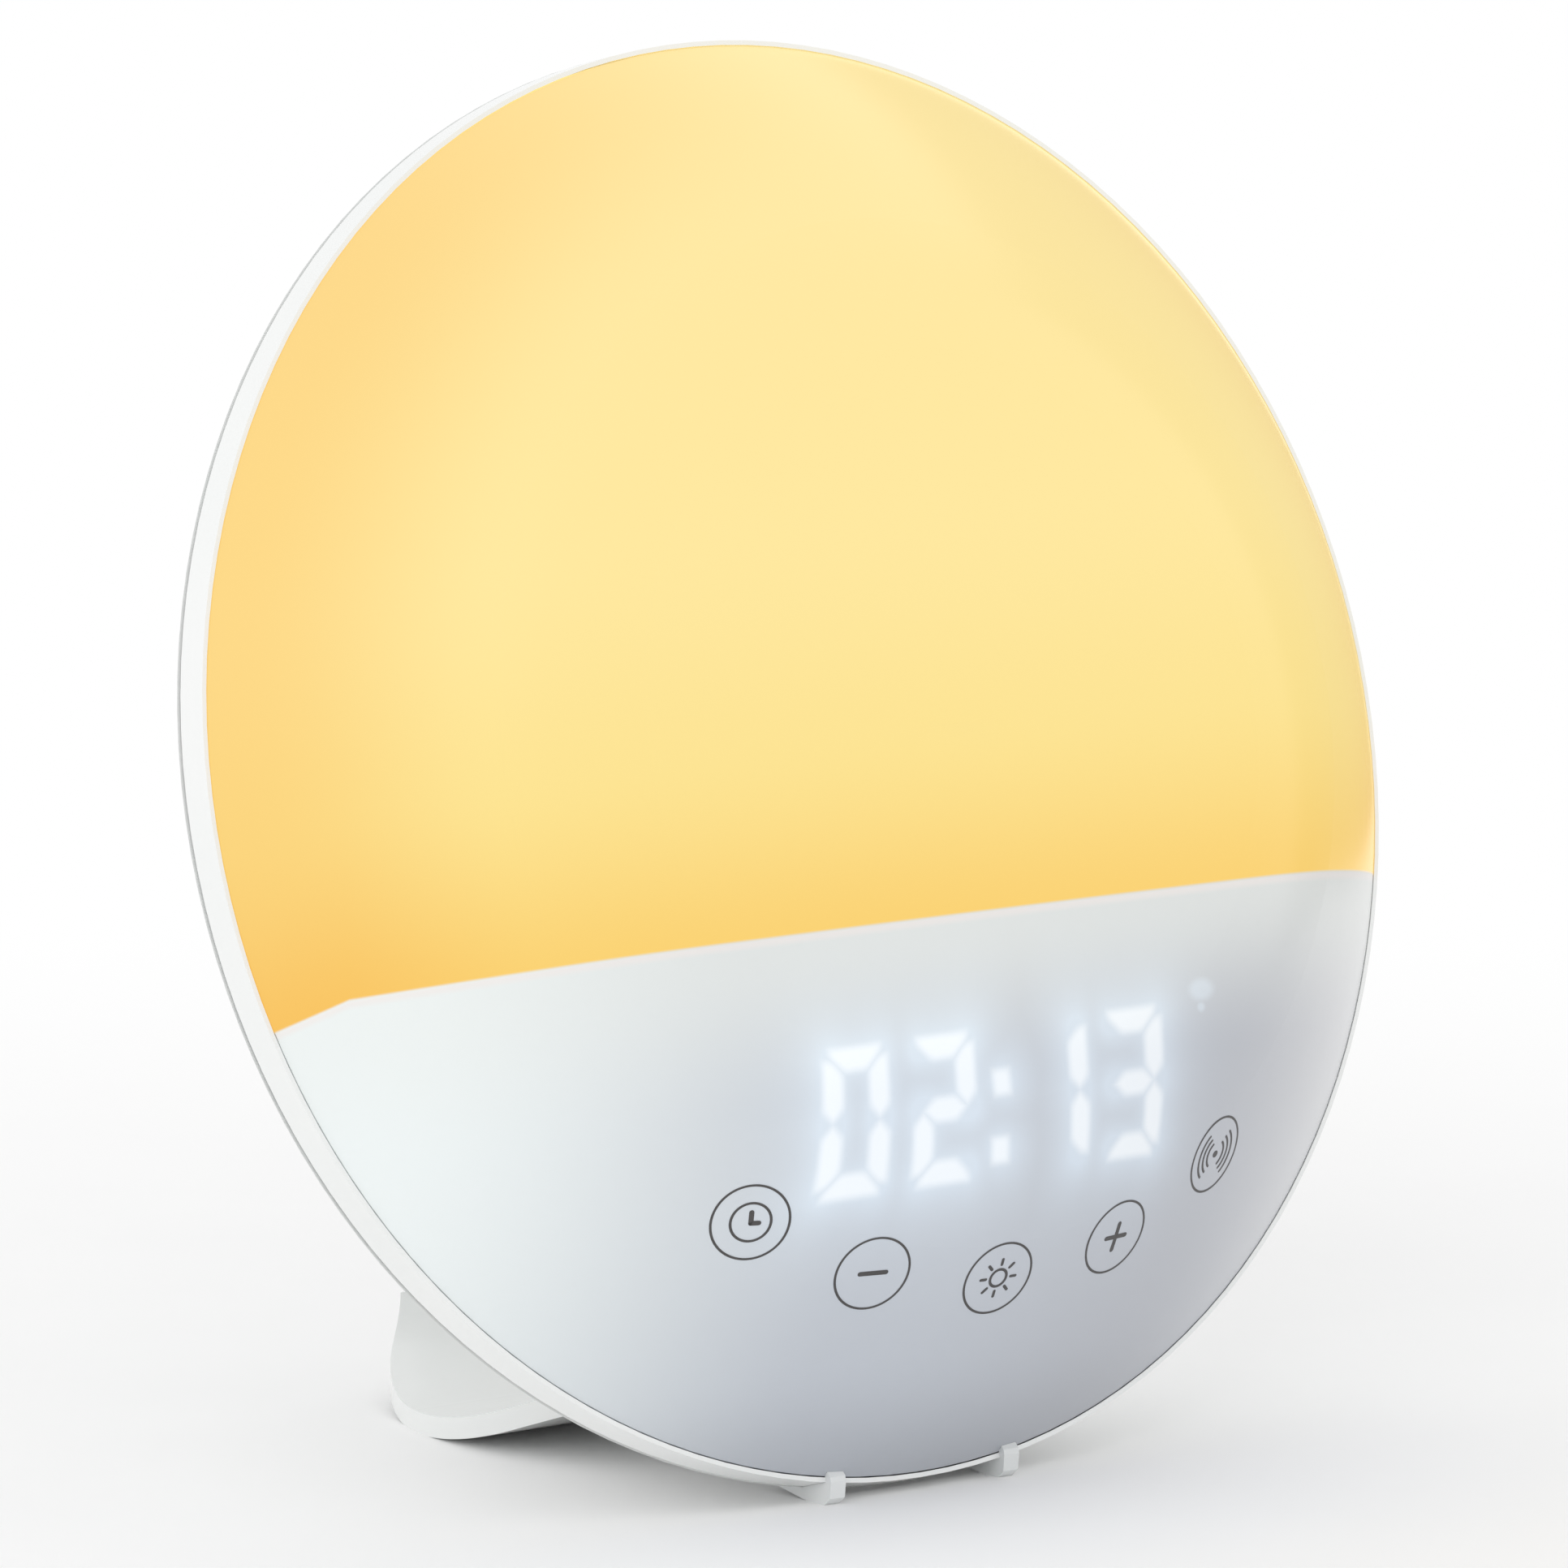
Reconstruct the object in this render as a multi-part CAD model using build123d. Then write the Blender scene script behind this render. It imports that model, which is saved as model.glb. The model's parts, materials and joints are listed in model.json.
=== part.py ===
from build123d import *
from math import asin, cos, degrees, hypot, radians, sin, tan
import os

# Sunrise alarm clock: a round lamp body that leans back on a loop stand.
# World frame: X to the right, Y to the back, Z up, origin on the table under the middle
# of the footprint. The lamp body is modelled in its own face frame (x right, y up the
# face, z out of the face, zero at the widest circle) and then leant back into place.

# ---- driving dimensions, mm and degrees ----
body_radius = 85.0
body_lean = 15.0
body_centre_height = 82.5
body_centre_setback = -7.26

# front diffuser: a flat crown, a round shoulder and a bowed flank, tangent to each other
lens_radius = 84.2
lens_wall = 2.0
lens_seat_depth = 1.0
flank_end_slope = 51.5
flank_start_slope = 36.0
shoulder_outer_radius = 60.0
shoulder_radius = 32.0
shoulder_start_slope = 5.0
crown_chords = 2
shoulder_chords = 3
arc_chords = 5

# rim and rear shell
bezel_front = 4.6
bezel_back = 0.3
bezel_lip = 0.65
bezel_draft = 0.1
bezel_chamfer = 0.2
bezel_tongue_radius = 81.3
bezel_inner_radius = 79.9
bezel_tongue_depth = 1.4
parting_gap = 0.4
shell_taper = 38.0
shell_taper_depth = 18.0
shell_round = 32.0
shell_wall = 2.0

# glowing field ends at this height on the face
partition_height = -22.3
partition_wall = 2.0

# chassis and boards (depths are face-frame z)
chassis_front = -0.6
chassis_wall = 2.0
board_wall = 1.6
boss_radius = 4.2
boss_joint_depth = -16.0
boss_places = ((-26.0, 33.0), (26.0, 33.0), (-12.0, -39.0), (12.0, -39.0))
main_board_depth = -8.0

# display
digit_height = 17.0
digit_width = 9.4
digit_pitch = 12.6
colon_gap = 3.6
digit_slant = 11.0
segment_width = 1.9
segment_gap = 0.35
display_middle = -43.6
display_front = 24.0
display_back = 9.0

# touch keys on an arc below the digits
key_count = 5
key_arc_radius = 60.8
key_arc_centre = -2.9
key_step = 16.9
key_pad_radius = 4.2
touch_board_depth = 3.0

# back of the body
speaker_place = (0.0, 24.0)
speaker_cone_radius = 13.2
button_column = 36.0
button_heights = (19.0, 10.0, 1.0)
button_radius = 3.4
button_clearance = 0.3
button_proud = 1.2
socket_place = (-29.0, -22.0)
socket_bore = 3.3
battery_place = (25.0, -22.0)
cell_radius = 10.0
cell_height = 3.2
door_radius = 12.5
door_clearance = 0.3

# loop stand, side profile in world Y (from the body centre) and Z
ribbon_wall = 2.6
front_slope = 20.0
contact_setback = 37.5
front_arc = 58.0
heel_arc = 34.0
heel_turn = 30.0
tip_arc = 9.0
rear_slope = 118.8
front_run = 24.0
rear_run = 66.0
sole_flat = 0.15
sole_half_width = 27.8
sole_half_length = 33.5
sole_middle = 28.0
root_half_width = 17.0

# front feet
foot_width = 2.2
foot_spread = 12.8

# ---- derived values ----
def inner_centre(centre, radius, slope, inner_radius):
    """Centre of an arc that meets another one, tangent to it, at the given slope."""
    along = radius - inner_radius
    return (centre[0] + along * sin(radians(slope)), centre[1] + along * cos(radians(slope)))


flank_radius = (lens_radius - shoulder_outer_radius) / (
    sin(radians(flank_end_slope)) - sin(radians(flank_start_slope))
)
flank_centre = (
    lens_radius - flank_radius * sin(radians(flank_end_slope)),
    bezel_front - flank_radius * cos(radians(flank_end_slope)),
)
shoulder_centre = inner_centre(flank_centre, flank_radius, flank_start_slope, shoulder_radius)
crown_radius = (
    shoulder_centre[0] / sin(radians(shoulder_start_slope)) + shoulder_radius
)
crown_centre = inner_centre(shoulder_centre, shoulder_radius, shoulder_start_slope, crown_radius)
crown_height = crown_centre[1] + crown_radius
taper_end = (
    body_radius - shell_taper_depth * tan(radians(shell_taper)),
    -parting_gap - shell_taper_depth,
)
bowl_centre = (
    taper_end[0] - shell_round * cos(radians(shell_taper)),
    taper_end[1] + shell_round * sin(radians(shell_taper)),
)
back_face = bowl_centre[1] - shell_round
back_inside = back_face + shell_wall
chassis_back = chassis_front - chassis_wall

face_frame = Pos(0, body_centre_setback, body_centre_height) * Rot(90 - body_lean, 0, 0)
parts = {}


# ---- small helpers ----
def slope_arc(centre, radius, start_slope, end_slope):
    """Arc in the half plane (radius, depth); slope 0 is level, 90 runs straight back."""
    points = []
    for slope in (start_slope, (start_slope + end_slope) / 2, end_slope):
        angle = radians(slope)
        points.append((centre[0] + radius * sin(angle), centre[1] + radius * cos(angle)))
    return ThreePointArc(*points)


def revolved(edges):
    """Solid of revolution about the face axis from edges in (radius, depth)."""
    return revolve(Plane.XZ * make_face(edges), Axis.Z)


def tube(outer, inner, low, high):
    """Ring of rectangular section between two depths."""
    return Pos(0, 0, low) * extrude(Circle(outer) - Circle(inner), high - low)


def rod(radius, low, high):
    return Pos(0, 0, low) * extrude(Circle(radius), high - low)


def plate(sketch, low, high):
    return Pos(0, 0, low) * extrude(sketch, high - low)


def spread(shape, places):
    """The same shape at several face places, kept as separate solids."""
    return [Pos(x, y, 0) * shape for x, y in places]


def group(shapes):
    return Compound(children=[solid for shape in shapes for solid in shape.solids()])


def lens_edges():
    """Outer line of the dome: crown, shoulder and flank arcs, from the axis to the rim."""
    crown = slope_arc(crown_centre, crown_radius, 0, shoulder_start_slope)
    shoulder = slope_arc(
        shoulder_centre, shoulder_radius, shoulder_start_slope, flank_start_slope
    )
    flank = slope_arc(flank_centre, flank_radius, flank_start_slope, flank_end_slope)
    return crown, shoulder, flank


def flank_slope_at(radius, inset):
    """Slope of the flank arc, moved inwards by inset, at a distance from the axis."""
    across = (radius - flank_centre[0]) / (flank_radius - inset)
    return degrees(asin(across))


def chords(centre, radius, start_slope, end_slope, count):
    """Points along an arc in the half plane, for a hidden face cut as straight cones."""
    slopes = [start_slope + (end_slope - start_slope) * i / count for i in range(count + 1)]
    return [
        (centre[0] + radius * sin(radians(slope)), centre[1] + radius * cos(radians(slope)))
        for slope in slopes
    ]


def lens_inner_points(inset):
    """Hidden line of the dome, inset from the outside, from the axis to the rim."""
    rim_slope = flank_slope_at(lens_radius - inset, inset)
    crown = chords(crown_centre, crown_radius - inset, 0, shoulder_start_slope, crown_chords)
    shoulder = chords(
        shoulder_centre, shoulder_radius - inset, shoulder_start_slope, flank_start_slope,
        shoulder_chords,
    )
    flank = chords(flank_centre, flank_radius - inset, flank_start_slope, rim_slope, 2)
    return crown + shoulder[1:] + flank[1:]


def room_under_lens(inset, radius, low):
    """Space behind the dome, for cutting inner pieces to its curve."""
    points = lens_inner_points(inset)
    outline = points + [(points[-1][0], low), (0, low), points[0]]
    return revolved([Polyline(*outline)]) & rod(radius, low, crown_height)


def bowl_edges():
    """Outer line of the rear shell, from the parting line to the axis."""
    taper = Line((body_radius, -parting_gap), taper_end)
    arc = slope_arc(bowl_centre, shell_round, 90 + shell_taper, 180)
    floor = Line(arc @ 1, (0, back_face))
    return taper, arc, floor


def bowl_inner_points(inset):
    """Hidden line of the rear shell, inset from the outside, from the parting line in."""
    rim = (body_radius - inset / cos(radians(shell_taper)), -parting_gap)
    round_part = chords(bowl_centre, shell_round - inset, 90 + shell_taper, 180, arc_chords)
    return [rim, *round_part, (0, back_face + inset)]


def body_envelope():
    """Everything inside the outer surface of diffuser, rim and rear shell."""
    crown, shoulder, flank = lens_edges()
    taper, arc, floor = bowl_edges()
    rim = Polyline(
        flank @ 1,
        (body_radius - bezel_draft, bezel_front),
        (body_radius, bezel_back),
        taper @ 0,
    )
    axis_line = Line(floor @ 1, crown @ 0)
    return revolved([crown, shoulder, flank, rim, taper, arc, floor, axis_line])


def key_places():
    """Centres of the touch keys, left to right."""
    places = []
    for index in range(key_count):
        angle = radians((index - (key_count - 1) / 2) * key_step)
        places.append((key_arc_radius * sin(angle), key_arc_centre - key_arc_radius * cos(angle)))
    return places


# ---- front diffuser and rim ----
def front_diffuser():
    crown, shoulder, flank = lens_edges()
    inner = lens_inner_points(lens_wall)
    underside = Polyline(
        flank @ 1, (lens_radius, lens_seat_depth), (inner[-1][0], lens_seat_depth),
        *reversed(inner), crown @ 0,
    )
    return revolved([crown, shoulder, flank, underside])


def bezel_ring():
    lip = body_radius - bezel_lip
    section = Polyline(
        (lip, bezel_front),
        (body_radius - bezel_draft, bezel_front),
        (body_radius, bezel_back),
        (body_radius - bezel_chamfer, 0),
        (bezel_tongue_radius, 0),
        (bezel_tongue_radius, -bezel_tongue_depth),
        (bezel_inner_radius, -bezel_tongue_depth),
        (bezel_inner_radius, lens_seat_depth),
        (lip, lens_seat_depth),
        (lip, bezel_front),
    )
    return revolved([section])


# ---- rear housing ----
vent_slot = (11.0, 1.8)
vent_column = -36.0
vent_pitch = 4.4
vent_count = 5
vent_middle = 10.0
post_radius = boss_radius + 0.4
screw_well_radius = 3.3
screw_hole_radius = 1.65
grille_radius = 12.5
grille_slot = 1.6
grille_pitch = 3.4
grille_rows = 3
screw_well_floor = -18.0
stand_top_screws = ((-7.0, -5.0), (7.0, -5.0))
stand_low_screws = ((0.0, -61.5),)
stand_low_seat = -21.5
stand_post_radius = 3.8
stand_screw_radius = 1.4
stand_top_reach = 6.0
stand_low_reach = 10.0
door_ledge = back_face + 1.5
battery_boss_radius = 13.8
battery_boss_top = back_inside + 1.5
battery_bore = 11.4
socket_hole_radius = 4.0
speaker_seat = back_inside + 1.2
speaker_ring_radius = 17.0
speaker_roll_radius = 15.2
speaker_screw_offset = 15.2
speaker_post_radius = 2.4
speaker_screw_radius = 1.1
button_post_heights = (-5.4, 25.4)
button_post_radius = 1.9
button_flange = 0.8
button_board_depth = -23.0


def grille_slots():
    """Horizontal slots that fill a circle over the speaker."""
    slots = []
    for row in range(-grille_rows, grille_rows + 1):
        height = row * grille_pitch
        half = (grille_radius ** 2 - height ** 2) ** 0.5
        slots.append(Pos(0, height) * SlotOverall(2 * half, grille_slot))
    return slots


def at_speaker(shape):
    return Pos(*speaker_place, 0) * shape


def speaker_corners():
    """Places of the four screws that hold the speaker."""
    return [
        (speaker_place[0] + i * speaker_screw_offset, speaker_place[1] + j * speaker_screw_offset)
        for i in (-1, 1) for j in (-1, 1)
    ]


def vent_places():
    return [
        (vent_column, vent_middle + (i - (vent_count - 1) / 2) * vent_pitch)
        for i in range(vent_count)
    ]


def rear_housing():
    taper, arc, floor = bowl_edges()
    inner = bowl_inner_points(shell_wall)
    underside = Polyline(floor @ 1, *reversed(inner), taper @ 0)
    shell = revolved([taper, arc, floor, underside])
    middle = bowl_inner_points(shell_wall / 2)
    inside = revolved([Polyline(*middle, (0, -parting_gap), middle[0])])

    # bosses and seats inside the bowl
    low = back_face
    root = back_inside - 1
    screw_posts = spread(rod(post_radius, low, boss_joint_depth), boss_places)
    stand_posts = spread(rod(stand_post_radius, low, stand_low_seat), stand_low_screws)
    battery_boss = Pos(*battery_place, 0) * rod(battery_boss_radius, low, battery_boss_top)
    speaker_ring = tube(speaker_ring_radius, speaker_roll_radius, root, speaker_seat)
    speaker_posts = spread(rod(speaker_post_radius, root, speaker_seat), speaker_corners())
    board_posts = spread(
        rod(button_post_radius, root, button_board_depth),
        [(button_column, height) for height in button_post_heights],
    )
    for piece in (*screw_posts, *stand_posts, battery_boss):
        shell += piece & inside
    for piece in (at_speaker(speaker_ring), *speaker_posts, *board_posts):
        shell += piece

    # openings
    outside = low - 1
    through = back_inside + 1
    well = rod(screw_well_radius, outside, screw_well_floor)
    well += rod(screw_hole_radius, low, boss_joint_depth)
    cuts = spread(well, boss_places)
    cuts += spread(plate(SlotOverall(*vent_slot), outside, through), vent_places())
    cuts += [at_speaker(plate(slot, outside, speaker_seat)) for slot in grille_slots()]
    cuts += spread(
        rod(button_radius + button_clearance, outside, through),
        [(button_column, height) for height in button_heights],
    )
    cuts += [Pos(*socket_place, 0) * rod(socket_hole_radius, outside, through)]
    cuts += [Pos(*battery_place, 0) * rod(door_radius + door_clearance, outside, door_ledge)]
    cuts += [Pos(*battery_place, 0) * rod(battery_bore, outside, battery_boss_top)]
    cuts += spread(rod(stand_screw_radius, outside, stand_low_seat), stand_low_screws)
    cuts += spread(rod(stand_screw_radius, outside, through), stand_top_screws)
    cuts += spread(rod(speaker_screw_radius, root, speaker_seat), speaker_corners())
    return shell - cuts


# ---- chassis, lamp and display ----
main_board_size = (96.0, 39.0)
main_board_middle = (0.0, -14.5)
main_board_posts = ((-43.0, 1.0), (43.0, 1.0), (-43.0, -30.0), (43.0, -30.0))
display_board_size = (57.6, 27.0)
display_board_middle = (0.0, -41.5)
display_screw_posts = ((-24.0, -30.0), (24.0, -30.0))
display_rest_posts = ((-15.0, -52.0), (15.0, -52.0))
ribbon_place = (0.0, -42.0)
ribbon_size = (12.0, 0.4)
ribbon_slot = (14.0, 2.4)
partition_reach = 79.6
lens_clearance = 0.4
board_post_radius = 3.0
board_screw_radius = 1.25
display_post_radius = 2.2
rest_post_radius = 1.8
boss_hole_radius = 1.5
boss_hole_depth = 10.0
board_screw_depth = 4.6
display_screw_depth = 5.0


def lamp_field(radius, lowest):
    """Round field cut off along the straight line above the display."""
    cut = Pos(0, lowest + 100) * Rectangle(200, 200)
    return Circle(radius) & cut


def inner_chassis():
    base = rod(bezel_inner_radius, chassis_back, chassis_front)
    wall = Pos(0, partition_height - partition_wall / 2, 0) * Box(170, partition_wall, 80)
    wall = wall & room_under_lens(lens_wall + lens_clearance, partition_reach, chassis_front)
    board_low = display_back - board_wall
    posts = spread(rod(boss_radius, boss_joint_depth, chassis_back), boss_places)
    posts += spread(rod(board_post_radius, main_board_depth, chassis_back), main_board_posts)
    posts += spread(rod(display_post_radius, chassis_front, board_low), display_screw_posts)
    posts += spread(rod(rest_post_radius, chassis_front, board_low), display_rest_posts)
    chassis = base + wall
    for post in posts:
        chassis += post
    boss_hole = rod(boss_hole_radius, boss_joint_depth, boss_joint_depth + boss_hole_depth)
    main_hole = rod(board_screw_radius, main_board_depth, main_board_depth + board_screw_depth)
    display_hole = rod(board_screw_radius, board_low - display_screw_depth, board_low)
    slot = plate(Rectangle(*ribbon_slot), chassis_back, chassis_front)
    cuts = spread(boss_hole, boss_places) + spread(main_hole, main_board_posts)
    cuts += spread(display_hole, display_screw_posts) + [Pos(*ribbon_place, 0) * slot]
    return chassis - cuts


reflector_radius = 78.0
reflector_wall = 1.2
reflector_height = 16.0
lamp_board_radius = 70.0
led_side = 5.0
led_height = 1.4
led_pitch = (18, 16)
led_field_radius = 64.0


def lamp_reflector():
    floor_top = chassis_front + reflector_wall
    edge = partition_height + 0.3
    tray = plate(lamp_field(reflector_radius, edge), chassis_front, reflector_height)
    hollow = plate(
        lamp_field(reflector_radius - reflector_wall, edge + reflector_wall),
        floor_top, reflector_height + 1,
    )
    room = room_under_lens(lens_wall + 1.0, reflector_radius + 1, chassis_front)
    return (tray - hollow) & room


def lamp_board():
    low = chassis_front + reflector_wall
    return plate(lamp_field(lamp_board_radius, partition_height + 6), low, low + board_wall)


def lamp_leds():
    low = chassis_front + reflector_wall + board_wall
    led = plate(Rectangle(led_side, led_side), low, low + led_height)
    places = [
        (x, y)
        for x in range(-54, 55, led_pitch[0]) for y in range(-8, 57, led_pitch[1])
        if hypot(x, y) < led_field_radius
    ]
    return group(spread(led, places))


colon_dot_half = 1.1
display_block_size = (57.2, 20.0)
display_clearance = 0.5


def segment_outline(length):
    """Corners of a bar with pointed ends, as on a seven-segment digit."""
    half = length / 2
    tip = segment_width / 2
    return [
        (-half, 0), (-half + tip, -tip), (half - tip, -tip),
        (half, 0), (half - tip, tip), (-half + tip, tip),
    ]


def moved(corners, x, y):
    return [(x + corner[0], y + corner[1]) for corner in corners]


def upright(corners):
    """The outline turned a quarter turn."""
    return [(-y, x) for x, y in corners]


def digit_outlines():
    """Seven segment outlines round a digit's middle: three bars and four posts."""
    reach = (digit_width - segment_width) / 2
    storey = (digit_height - segment_width) / 2
    bar = segment_outline(2 * reach - segment_gap)
    post = upright(segment_outline(storey - segment_gap))
    bars = [moved(bar, 0, level * storey) for level in (-1, 0, 1)]
    posts = [
        moved(post, side * reach, level * storey / 2)
        for side in (-1, 1) for level in (-1, 1)
    ]
    return bars + posts


def display_outlines():
    """Slanted outlines of all digit segments and the colon dots, on the face."""
    inner = (digit_pitch + colon_gap) / 2
    outlines = []
    for middle in (-inner - digit_pitch, -inner, inner, inner + digit_pitch):
        outlines += [moved(corners, middle, 0) for corners in digit_outlines()]
    half = colon_dot_half
    dot = [(-half, -half), (half, -half), (half, half), (-half, half)]
    outlines += [moved(dot, 0, level * digit_height / 4) for level in (-1, 1)]
    shear = tan(radians(digit_slant))
    return [
        Polygon(*[(x + shear * y, y + display_middle) for x, y in corners], align=None)
        for corners in outlines
    ]


def display_room():
    return room_under_lens(lens_wall + display_clearance, body_radius, 0)


def display_block():
    outline = Pos(0, display_middle) * Rectangle(*display_block_size)
    block = plate(outline, display_back, display_front) & display_room()
    return block - [plate(shape, display_back, display_front + 8) for shape in display_outlines()]


def display_segments():
    low = display_front - 3.0
    room = display_room()
    return group([plate(shape, low, display_front) & room for shape in display_outlines()])


def display_board():
    low = display_back - board_wall
    board = plate(Pos(*display_board_middle) * Rectangle(*display_board_size), low, display_back)
    return board - spread(rod(board_screw_radius, low, display_back), display_screw_posts)


# ---- touch keys ----
touch_board_wall = 1.2
touch_board_end = 8.0
touch_board_outer = 7.5
touch_board_inner = 6.3


def touch_board():
    """Board curved round the key arc, with an end margin in degrees past the last keys."""
    ring = Circle(key_arc_radius + touch_board_outer) - Circle(key_arc_radius - touch_board_inner)
    half = radians(key_step * (key_count - 1) / 2 + touch_board_end)
    reach = 120.0
    wedge = Polygon(
        (0, 0),
        (-reach * sin(half), -reach * cos(half)),
        (0, -reach * 2),
        (reach * sin(half), -reach * cos(half)),
        align=None,
    )
    outline = Pos(0, key_arc_centre) * (ring & wedge)
    return plate(outline, touch_board_depth, touch_board_depth + touch_board_wall)


def touch_pads():
    low = touch_board_depth + touch_board_wall
    room = room_under_lens(lens_wall, body_radius, 0)
    pad = rod(key_pad_radius, low, crown_height)
    return group([piece & room for piece in spread(pad, key_places())])


# ---- main board ----
def main_board():
    low = main_board_depth - board_wall
    outline = Pos(*main_board_middle) * RectangleRounded(*main_board_size, 2)
    board = plate(outline, low, main_board_depth)
    return board - spread(rod(board_screw_radius, low, main_board_depth), main_board_posts)


def board_components():
    top = main_board_depth - board_wall
    chips = [
        Pos(10, -6, 0) * plate(Rectangle(12, 12), top - 1.6, top),
        Pos(-6, -24, 0) * plate(Rectangle(8, 5), top - 1.6, top),
        Pos(36, -12, 0) * plate(Rectangle(7, 10), top - 5.0, top),
        Pos(0, -30, 0) * plate(Rectangle(20, 5), top - 4.0, top),
    ]
    cans = spread(rod(4.0, top - 9.0, top), ((-10, -6), (6, -20)))
    cans += spread(rod(2.5, top - 6.0, top), ((-36, -25), (36, -24)))
    return group(chips + cans)


def wireless_module():
    top = main_board_depth - board_wall
    carrier = Pos(-30, -8, 0) * plate(Rectangle(18, 22), top - 0.8, top)
    shield = Pos(-30, -6, 0) * plate(RectangleRounded(15, 14, 0.8), top - 3.0, top - 0.8)
    return carrier + shield


def ribbon_cable():
    low = main_board_depth
    return Pos(*ribbon_place, 0) * plate(Rectangle(*ribbon_size), low, display_back - board_wall)


# ---- speaker, facing the grille ----
speaker_flange_side = 38.0
speaker_flange_wall = 1.2
speaker_mouth = 16.4
basket_window = (6.4, 9.0, 4.4)


def speaker_frame():
    flange_top = speaker_seat + speaker_flange_wall
    flange = plate(
        RectangleRounded(speaker_flange_side, speaker_flange_side, 8), speaker_seat, flange_top
    )
    flange -= rod(speaker_mouth, speaker_seat, flange_top)
    basket = revolved([Polyline(
        (speaker_mouth, speaker_seat), (speaker_mouth + 1, speaker_seat),
        (speaker_mouth + 1, flange_top), (9.4, -19.0), (9.4, -18.0), (4.9, -18.0),
        (4.9, -19.0), (8.6, -19.0), (speaker_mouth, flange_top - 0.4),
        (speaker_mouth, speaker_seat),
    )])
    window = Pos(13.2, 0, -22.6) * Box(*basket_window)
    basket -= [Rot(0, 0, 45 + 90 * turn) * window for turn in range(4)]
    holes = spread(rod(speaker_screw_radius, speaker_seat, flange_top), speaker_corners())
    return at_speaker(flange + basket) - holes


def speaker_magnet():
    return at_speaker(revolved([Polyline(
        (0, -20.4), (3.0, -20.4), (3.0, -14.0), (4.9, -14.0), (4.9, -18.0),
        (8.8, -18.0), (8.8, -12.6), (0, -12.6), (0, -20.4),
    )]))


def speaker_cone():
    rim = speaker_seat + 0.3
    return at_speaker(revolved([Polyline(
        (0, -21.6), (3.5, -21.2), (3.5, -17.4), (4.0, -17.4), (4.0, -21.4),
        (speaker_cone_radius, rim + 0.5), (speaker_cone_radius, rim),
        (4.4, -22.6), (2.4, -23.4), (0, -23.7), (0, -21.6),
    )]))


def speaker_surround():
    """Rubber roll between the cone and the frame, glued to the frame's inner edge."""
    inner = speaker_cone_radius + 0.3
    outer = speaker_roll_radius - 0.05
    bead = (inner + outer) / 2
    low = speaker_seat - 0.4
    return at_speaker(revolved([Polyline(
        (inner, speaker_seat), (inner, low), (bead, low - 0.4), (outer, low),
        (outer, speaker_seat), (bead, low), (inner, speaker_seat),
    )]))


# ---- push buttons in the back ----
button_stem_radius = 1.6
button_board_size = (12.0, 35.0)
switch_side = 6.0
switch_height = 3.2
switch_well_radius = 1.95


def push_button(height):
    flange_low = back_inside + 0.3
    flange_high = flange_low + 1.0
    cap = rod(button_radius, back_face - button_proud, flange_low)
    cap = chamfer(cap.faces().sort_by(Axis.Z)[0].edges(), 0.5)
    flange = rod(button_radius + button_flange, flange_low, flange_high)
    stem = rod(button_stem_radius, flange_high, flange_high + 2.0)
    return Pos(button_column, height, 0) * (cap + flange + stem)


def button_board():
    outline = Pos(button_column, sum(button_post_heights) / 2) * Rectangle(*button_board_size)
    return plate(outline, button_board_depth, button_board_depth + 1.2)


def button_switches():
    low = button_board_depth - switch_height
    body = plate(Rectangle(switch_side, switch_side), low, button_board_depth)
    body -= rod(switch_well_radius, low, low + 2.0)
    return group(spread(body, [(button_column, height) for height in button_heights]))


# ---- power inlet and backup cell ----
socket_collar_radius = 3.9
socket_body_radius = 5.5
socket_pin_radius = 1.05
socket_pin_low = back_face + 4.3
socket_floor = -20.0


def dc_socket():
    shell = rod(socket_collar_radius, back_face, back_inside)
    shell += rod(socket_body_radius, back_inside, socket_floor + 2.0)
    shell -= rod(socket_bore, back_face, socket_floor)
    pin = rod(socket_pin_radius, socket_pin_low, socket_floor)
    return Pos(*socket_place, 0) * (shell + pin)


cell_low = battery_boss_top - 0.2
cell_high = cell_low + cell_height
contact_high = cell_high + 0.4
contact_radius = 5.0
door_ring = (8.6, 7.4)
coin_slot = (14.0, 2.0, 0.7)


def battery_holder():
    cup = rod(battery_boss_radius, battery_boss_top, contact_high + 1.2)
    cup -= rod(cell_radius + 0.4, battery_boss_top, contact_high)
    return Pos(*battery_place, 0) * cup


def battery_contact():
    return Pos(*battery_place, 0) * rod(contact_radius, cell_high, contact_high)


def coin_cell():
    body = rod(cell_radius, cell_low, cell_high)
    body = chamfer(body.faces().filter_by(GeomType.PLANE).edges(), 0.35)
    return Pos(*battery_place, 0) * body


def battery_door():
    inner_face = door_ledge - door_clearance
    disc = rod(door_radius, back_face, inner_face)
    ring = tube(*door_ring, inner_face, cell_low - 0.3)
    length, width, depth = coin_slot
    slot = plate(SlotOverall(length, width), back_face, back_face + depth)
    return Pos(*battery_place, 0) * (disc + ring - slot)


# ---- screws ----
def screw(head_radius, head_height, shank_radius, seat, reach):
    """Pan-head screw with its head on the seat; reach is the signed shank length."""
    side = 1 if reach > 0 else -1
    low, high = sorted((seat, seat + reach))
    head_low, head_high = sorted((seat, seat - side * head_height))
    return rod(head_radius, head_low, head_high) + rod(shank_radius, low, high)


def housing_screws():
    return group(spread(screw(2.9, 2.0, boss_hole_radius, screw_well_floor, 11.0), boss_places))


def chassis_screws():
    main = screw(2.6, 1.8, board_screw_radius, main_board_depth - board_wall, 6.0)
    display = screw(2.4, 1.6, board_screw_radius, display_back, -6.4)
    return group(spread(main, main_board_posts) + spread(display, display_screw_posts))


def speaker_screws():
    seat = speaker_seat + speaker_flange_wall
    return group(spread(screw(2.2, 1.4, speaker_screw_radius, seat, -2.2), speaker_corners()))


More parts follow.
